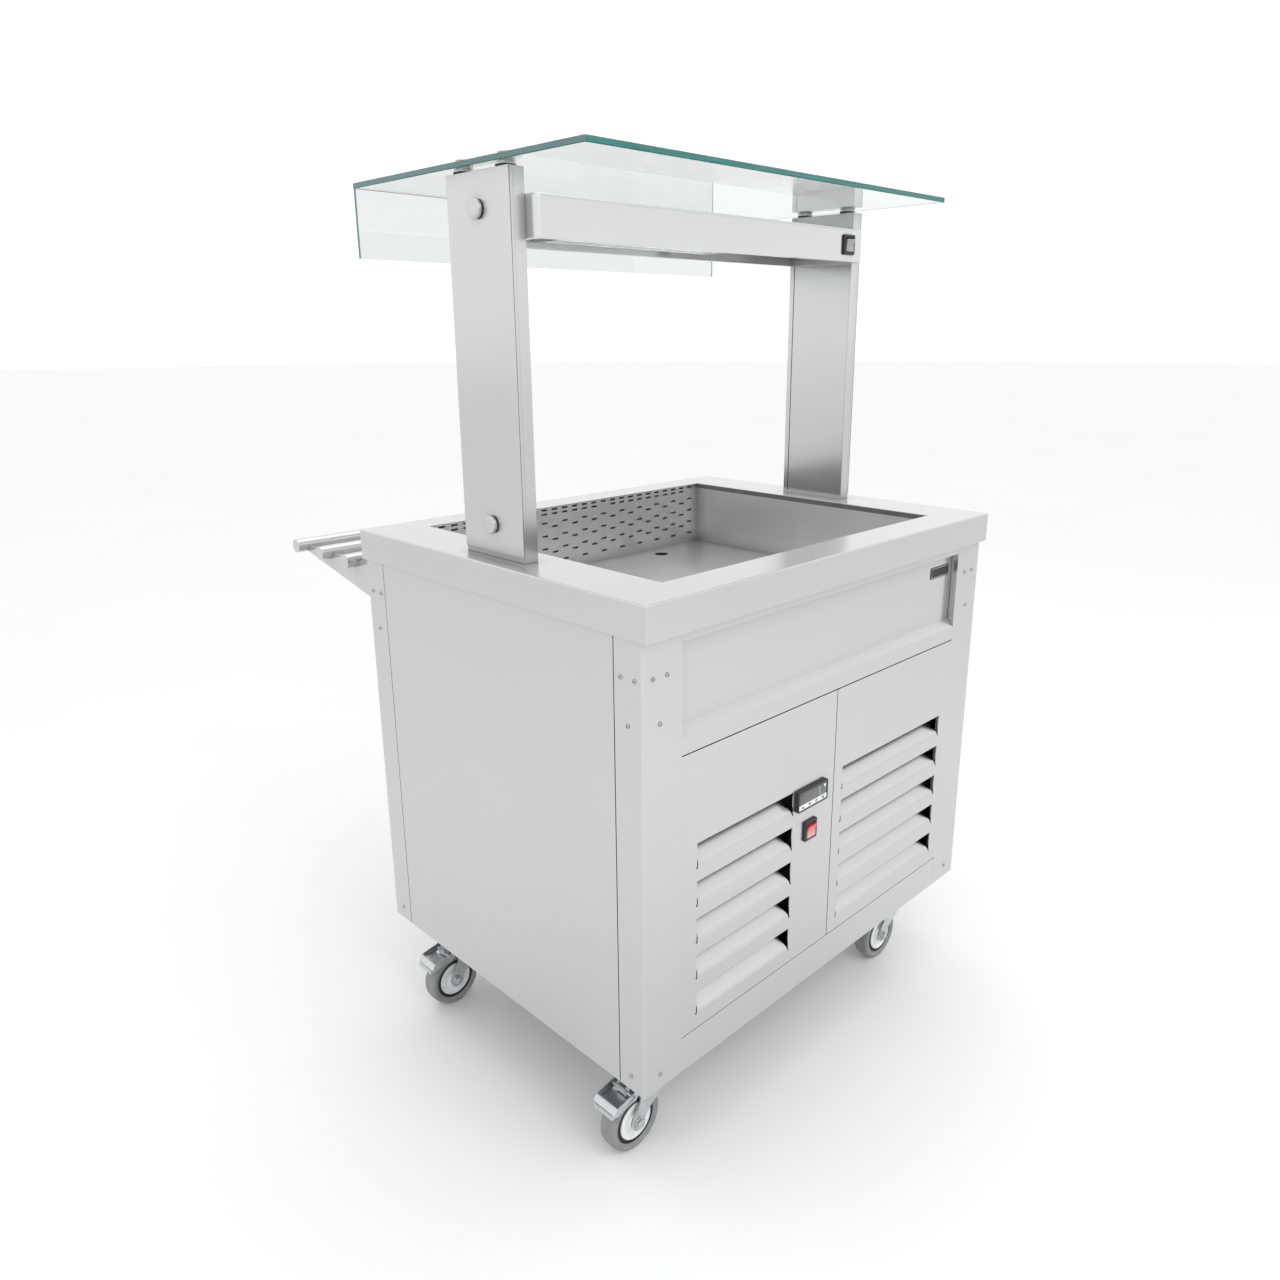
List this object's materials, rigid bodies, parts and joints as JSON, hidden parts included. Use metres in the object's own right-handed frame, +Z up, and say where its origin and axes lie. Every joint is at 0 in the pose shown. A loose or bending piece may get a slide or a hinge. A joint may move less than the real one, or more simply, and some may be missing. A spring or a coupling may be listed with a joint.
{
  "type": "refrigerated servery counter",
  "caption": "Mobile stainless counter with a blown-air cold well, gantry lamp, glass guard, louvred front, tray slide and braked swivel casters.",
  "frame": {"origin": "on the floor under the middle of the whole footprint, tray slide included", "axes": "+Z up, -Y towards the operator's louvred front, +Y towards the customer and the tray slide, +X to the right when facing the operator's front"},
  "size_m": [0.87, 0.95, 1.445],
  "materials": {
    "stainless": "satin",
    "well_steel": "satin",
    "polished_steel": "polished",
    "zinc_plate": "satin",
    "caster_rubber": "matte",
    "painted_frame": "satin",
    "black_plastic": "matte",
    "red_plastic": "gloss",
    "pale_plastic": "gloss",
    "glass": "polished",
    "black_rubber": "matte",
    "foam": "matte",
    "fin_aluminium": "matte",
    "fan_plastic": "matte",
    "compressor_paint": "gloss"
  },
  "bodies": {
    "root": {"worktop": "stainless", "side_panel_left": "stainless", "side_panel_right": "stainless", "back_panel": "stainless", "front_fascia": "stainless", "louvre_panel_left": "stainless", "louvre_panel_right": "stainless", "corner_profile_front_left": "stainless", "corner_profile_front_right": "stainless", "corner_profile_back_left": "stainless", "corner_profile_back_right": "stainless", "base_tray": "stainless", "post_channel_left": "stainless", "post_channel_right": "stainless", "post_outer_covers": "stainless", "post_inner_covers": "stainless", "light_canopy": "stainless", "tray_tubes": "stainless", "tray_brackets": "stainless", "well_liner": "well_steel", "air_panel_back": "well_steel", "air_panel_front": "well_steel", "evaporator_cover": "well_steel", "body_rivets": "polished_steel", "post_cap_nuts": "polished_steel", "glass_caps": "polished_steel", "nameplate": "polished_steel", "caster_plates": "zinc_plate", "chassis_frame": "painted_frame", "pan_rails": "black_plastic", "controller_body": "black_plastic", "switch_frames": "black_plastic", "cable_gland": "black_plastic", "canopy_light": "pale_plastic", "drain_pipe": "pale_plastic", "glass_top": "glass", "glass_front": "glass", "glass_pads": "black_rubber", "well_insulation": "foam", "evaporator_unit": "fin_aluminium", "condenser": "fin_aluminium", "compressor": "compressor_paint"},
    "fork_front_left": {"caster_fork_front_left": "zinc_plate"},
    "wheel_front_left": {"caster_wheel_front_left": "caster_rubber"},
    "pedal_front_left": {"brake_pedal_front_left": "zinc_plate"},
    "fork_front_right": {"caster_fork_front_right": "zinc_plate"},
    "wheel_front_right": {"caster_wheel_front_right": "caster_rubber"},
    "fork_back_left": {"caster_fork_back_left": "zinc_plate"},
    "wheel_back_left": {"caster_wheel_back_left": "caster_rubber"},
    "pedal_back_left": {"brake_pedal_back_left": "zinc_plate"},
    "fork_back_right": {"caster_fork_back_right": "zinc_plate"},
    "wheel_back_right": {"caster_wheel_back_right": "caster_rubber"},
    "evaporator_fan": {"evaporator_fan": "fan_plastic"},
    "condenser_fan": {"condenser_fan": "fan_plastic"},
    "power_switch_rocker": {"power_switch_rocker": "red_plastic"},
    "light_switch_rocker": {"light_switch_rocker": "black_plastic"},
    "button_1": {"controller_button_1": "pale_plastic"},
    "button_2": {"controller_button_2": "pale_plastic"},
    "button_3": {"controller_button_3": "pale_plastic"},
    "button_4": {"controller_button_4": "pale_plastic"}
  },
  "joints": [
    {"name": "swivel_front_left", "type": "hinge", "parent": "root", "child": "fork_front_left", "pos_m": [-0.3405, -0.375, 0.12], "axis": [0, 0, 1], "continuous": true},
    {"name": "roll_front_left", "type": "hinge", "parent": "fork_front_left", "child": "wheel_front_left", "pos_m": [-0.3795, -0.375, 0.05], "axis": [0, 1, 0], "continuous": true},
    {"name": "brake_front_left", "type": "hinge", "parent": "fork_front_left", "child": "pedal_front_left", "pos_m": [-0.3925, -0.375, 0.106], "axis": [0, 1, 0], "range_deg": [-12, 0]},
    {"name": "swivel_front_right", "type": "hinge", "parent": "root", "child": "fork_front_right", "pos_m": [0.3405, -0.375, 0.12], "axis": [0, 0, 1], "continuous": true},
    {"name": "roll_front_right", "type": "hinge", "parent": "fork_front_right", "child": "wheel_front_right", "pos_m": [0.3015, -0.375, 0.05], "axis": [0, 1, 0], "continuous": true},
    {"name": "swivel_back_left", "type": "hinge", "parent": "root", "child": "fork_back_left", "pos_m": [-0.3405, 0.114, 0.12], "axis": [0, 0, 1], "continuous": true},
    {"name": "roll_back_left", "type": "hinge", "parent": "fork_back_left", "child": "wheel_back_left", "pos_m": [-0.3795, 0.114, 0.05], "axis": [0, 1, 0], "continuous": true},
    {"name": "brake_back_left", "type": "hinge", "parent": "fork_back_left", "child": "pedal_back_left", "pos_m": [-0.3925, 0.114, 0.106], "axis": [0, 1, 0], "range_deg": [-12, 0]},
    {"name": "swivel_back_right", "type": "hinge", "parent": "root", "child": "fork_back_right", "pos_m": [0.3405, 0.114, 0.12], "axis": [0, 0, 1], "continuous": true},
    {"name": "roll_back_right", "type": "hinge", "parent": "fork_back_right", "child": "wheel_back_right", "pos_m": [0.3015, 0.114, 0.05], "axis": [0, 1, 0], "continuous": true},
    {"name": "evaporator_fan_spin", "type": "hinge", "parent": "root", "child": "evaporator_fan", "pos_m": [-0.373, 0.04, 0.832], "axis": [0, 1, 0], "continuous": true},
    {"name": "condenser_fan_spin", "type": "hinge", "parent": "root", "child": "condenser_fan", "pos_m": [0.19, -0.335, 0.32], "axis": [0, 1, 0], "continuous": true},
    {"name": "power_switch_toggle", "type": "hinge", "parent": "root", "child": "power_switch_rocker", "pos_m": [-0.062, -0.461, 0.4535], "axis": [1, 0, 0], "range_deg": [-14, 0]},
    {"name": "light_switch_toggle", "type": "hinge", "parent": "root", "child": "light_switch_rocker", "pos_m": [0.326, -0.217, 1.366], "axis": [1, 0, 0], "range_deg": [-14, 0]},
    {"name": "button_1_press", "type": "slide", "parent": "root", "child": "button_1", "axis": [0, 1, 0], "range_m": [0, 0.0008], "stiffness_N_per_m": 1500},
    {"name": "button_2_press", "type": "slide", "parent": "root", "child": "button_2", "axis": [0, 1, 0], "range_m": [0, 0.0008], "stiffness_N_per_m": 1500},
    {"name": "button_3_press", "type": "slide", "parent": "root", "child": "button_3", "axis": [0, 1, 0], "range_m": [0, 0.0008], "stiffness_N_per_m": 1500},
    {"name": "button_4_press", "type": "slide", "parent": "root", "child": "button_4", "axis": [0, 1, 0], "range_m": [0, 0.0008], "stiffness_N_per_m": 1500}
  ]
}
